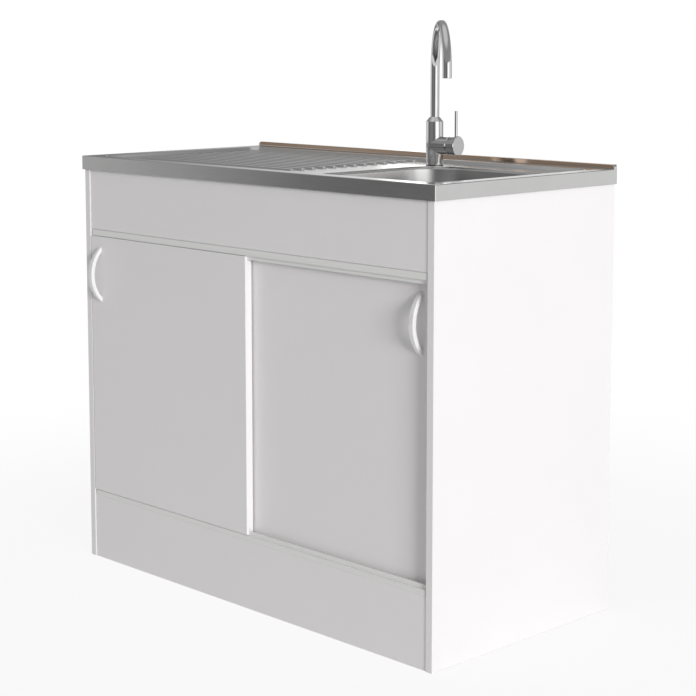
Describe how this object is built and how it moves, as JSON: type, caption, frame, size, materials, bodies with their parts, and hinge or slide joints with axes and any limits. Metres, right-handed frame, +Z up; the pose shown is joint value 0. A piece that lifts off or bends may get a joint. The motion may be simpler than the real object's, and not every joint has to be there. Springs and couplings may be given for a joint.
{
  "type": "kitchen sink unit",
  "caption": "Free-standing sink cabinet with two sliding doors, a pressed steel top with bowl and ribbed drainer, a swivel mixer tap and a bottle-trap waste.",
  "frame": {"origin": "on the floor, in the middle of the whole footprint, from the front of the left handle to the wall edge of the top", "axes": "+X to the right along the front, +Y towards the wall, +Z up; the doors face -Y"},
  "size_m": [1, 0.5224, 1.1278],
  "materials": {
    "melamine": "white melamine-faced board",
    "hardboard": "white hardboard",
    "top_steel": "pressed stainless steel with a fine linen grain",
    "chrome": "polished chrome plate",
    "track_plastic": "white extruded plastic",
    "handle_plastic": "white glossy plastic",
    "glide_plastic": "slippery white plastic",
    "zinc": "zinc die casting",
    "plated_steel": "zinc-plated steel",
    "dowel_wood": "beech",
    "waste_steel": "stainless steel",
    "waste_plastic": "white polypropylene",
    "rubber": "black rubber",
    "brass": "machined brass",
    "valve_plastic": "off-white plastic"
  },
  "bodies": {
    "cabinet": {"side_panel_left": "melamine", "side_panel_right": "melamine", "bottom_board": "melamine", "plinth_board": "melamine", "fascia_board": "melamine", "front_batten": "melamine", "back_rail": "melamine", "back_panel": "hardboard", "cam_locks": "zinc", "cam_bolts": "plated_steel", "wooden_dowels": "dowel_wood", "lower_track": "track_plastic", "upper_track": "track_plastic", "sink_top": "top_steel", "top_brackets": "plated_steel", "bracket_screws": "plated_steel", "waste_flange": "waste_steel", "waste_gasket": "rubber", "waste_body": "waste_plastic", "waste_screw": "waste_steel", "trap_body": "waste_plastic", "trap_cup": "waste_plastic", "trap_inlet_nut": "waste_plastic", "trap_outlet_nut": "waste_plastic", "waste_pipe": "waste_plastic", "tap_body": "chrome", "tap_base_seal": "rubber", "tap_shank": "brass", "tap_rubber_ring": "rubber", "tap_washer": "plated_steel", "tap_nut": "brass", "spout_bush": "valve_plastic", "mixer_cartridge": "valve_plastic", "cartridge_ring": "brass"},
    "door_left": {"door_left": "melamine", "door_glides_left": "glide_plastic", "handle_left": "handle_plastic", "handle_screws_left": "plated_steel"},
    "door_right": {"door_right": "melamine", "door_glides_right": "glide_plastic", "handle_right": "handle_plastic", "handle_screws_right": "plated_steel"},
    "spout": {"spout": "chrome", "aerator": "chrome"},
    "lever_guide": {"lever_guide": "valve_plastic", "pivot_pin": "waste_steel"},
    "lever": {"lever_stem": "brass", "mixer_knob": "chrome", "lever_pin": "chrome", "knob_screw": "plated_steel"},
    "strainer": {"strainer_basket": "waste_steel"}
  },
  "joints": [
    {"name": "left_door_slide", "type": "slide", "parent": "cabinet", "child": "door_left", "axis": [1, 0, 0], "range_m": [0, 0.425]},
    {"name": "right_door_slide", "type": "slide", "parent": "cabinet", "child": "door_right", "axis": [1, 0, 0], "range_m": [-0.425, 0]},
    {"name": "spout_swivel", "type": "hinge", "parent": "cabinet", "child": "spout", "pos_m": [0.135, 0.15275, 0.93], "axis": [0, 0, 1], "continuous": true},
    {"name": "lever_turn", "type": "hinge", "parent": "cabinet", "child": "lever_guide", "pos_m": [0.135, 0.15275, 0.883], "axis": [0.9925, 0.1219, 0], "range_deg": [-50, 50]},
    {"name": "lever_tilt", "type": "hinge", "parent": "lever_guide", "child": "lever", "pos_m": [0.15684, 0.15543, 0.883], "axis": [-0.1219, 0.9925, 0], "range_deg": [0, 20]},
    {"name": "strainer_lift", "type": "slide", "parent": "cabinet", "child": "strainer", "axis": [0, 0, 1], "range_m": [0, 0.2]}
  ]
}
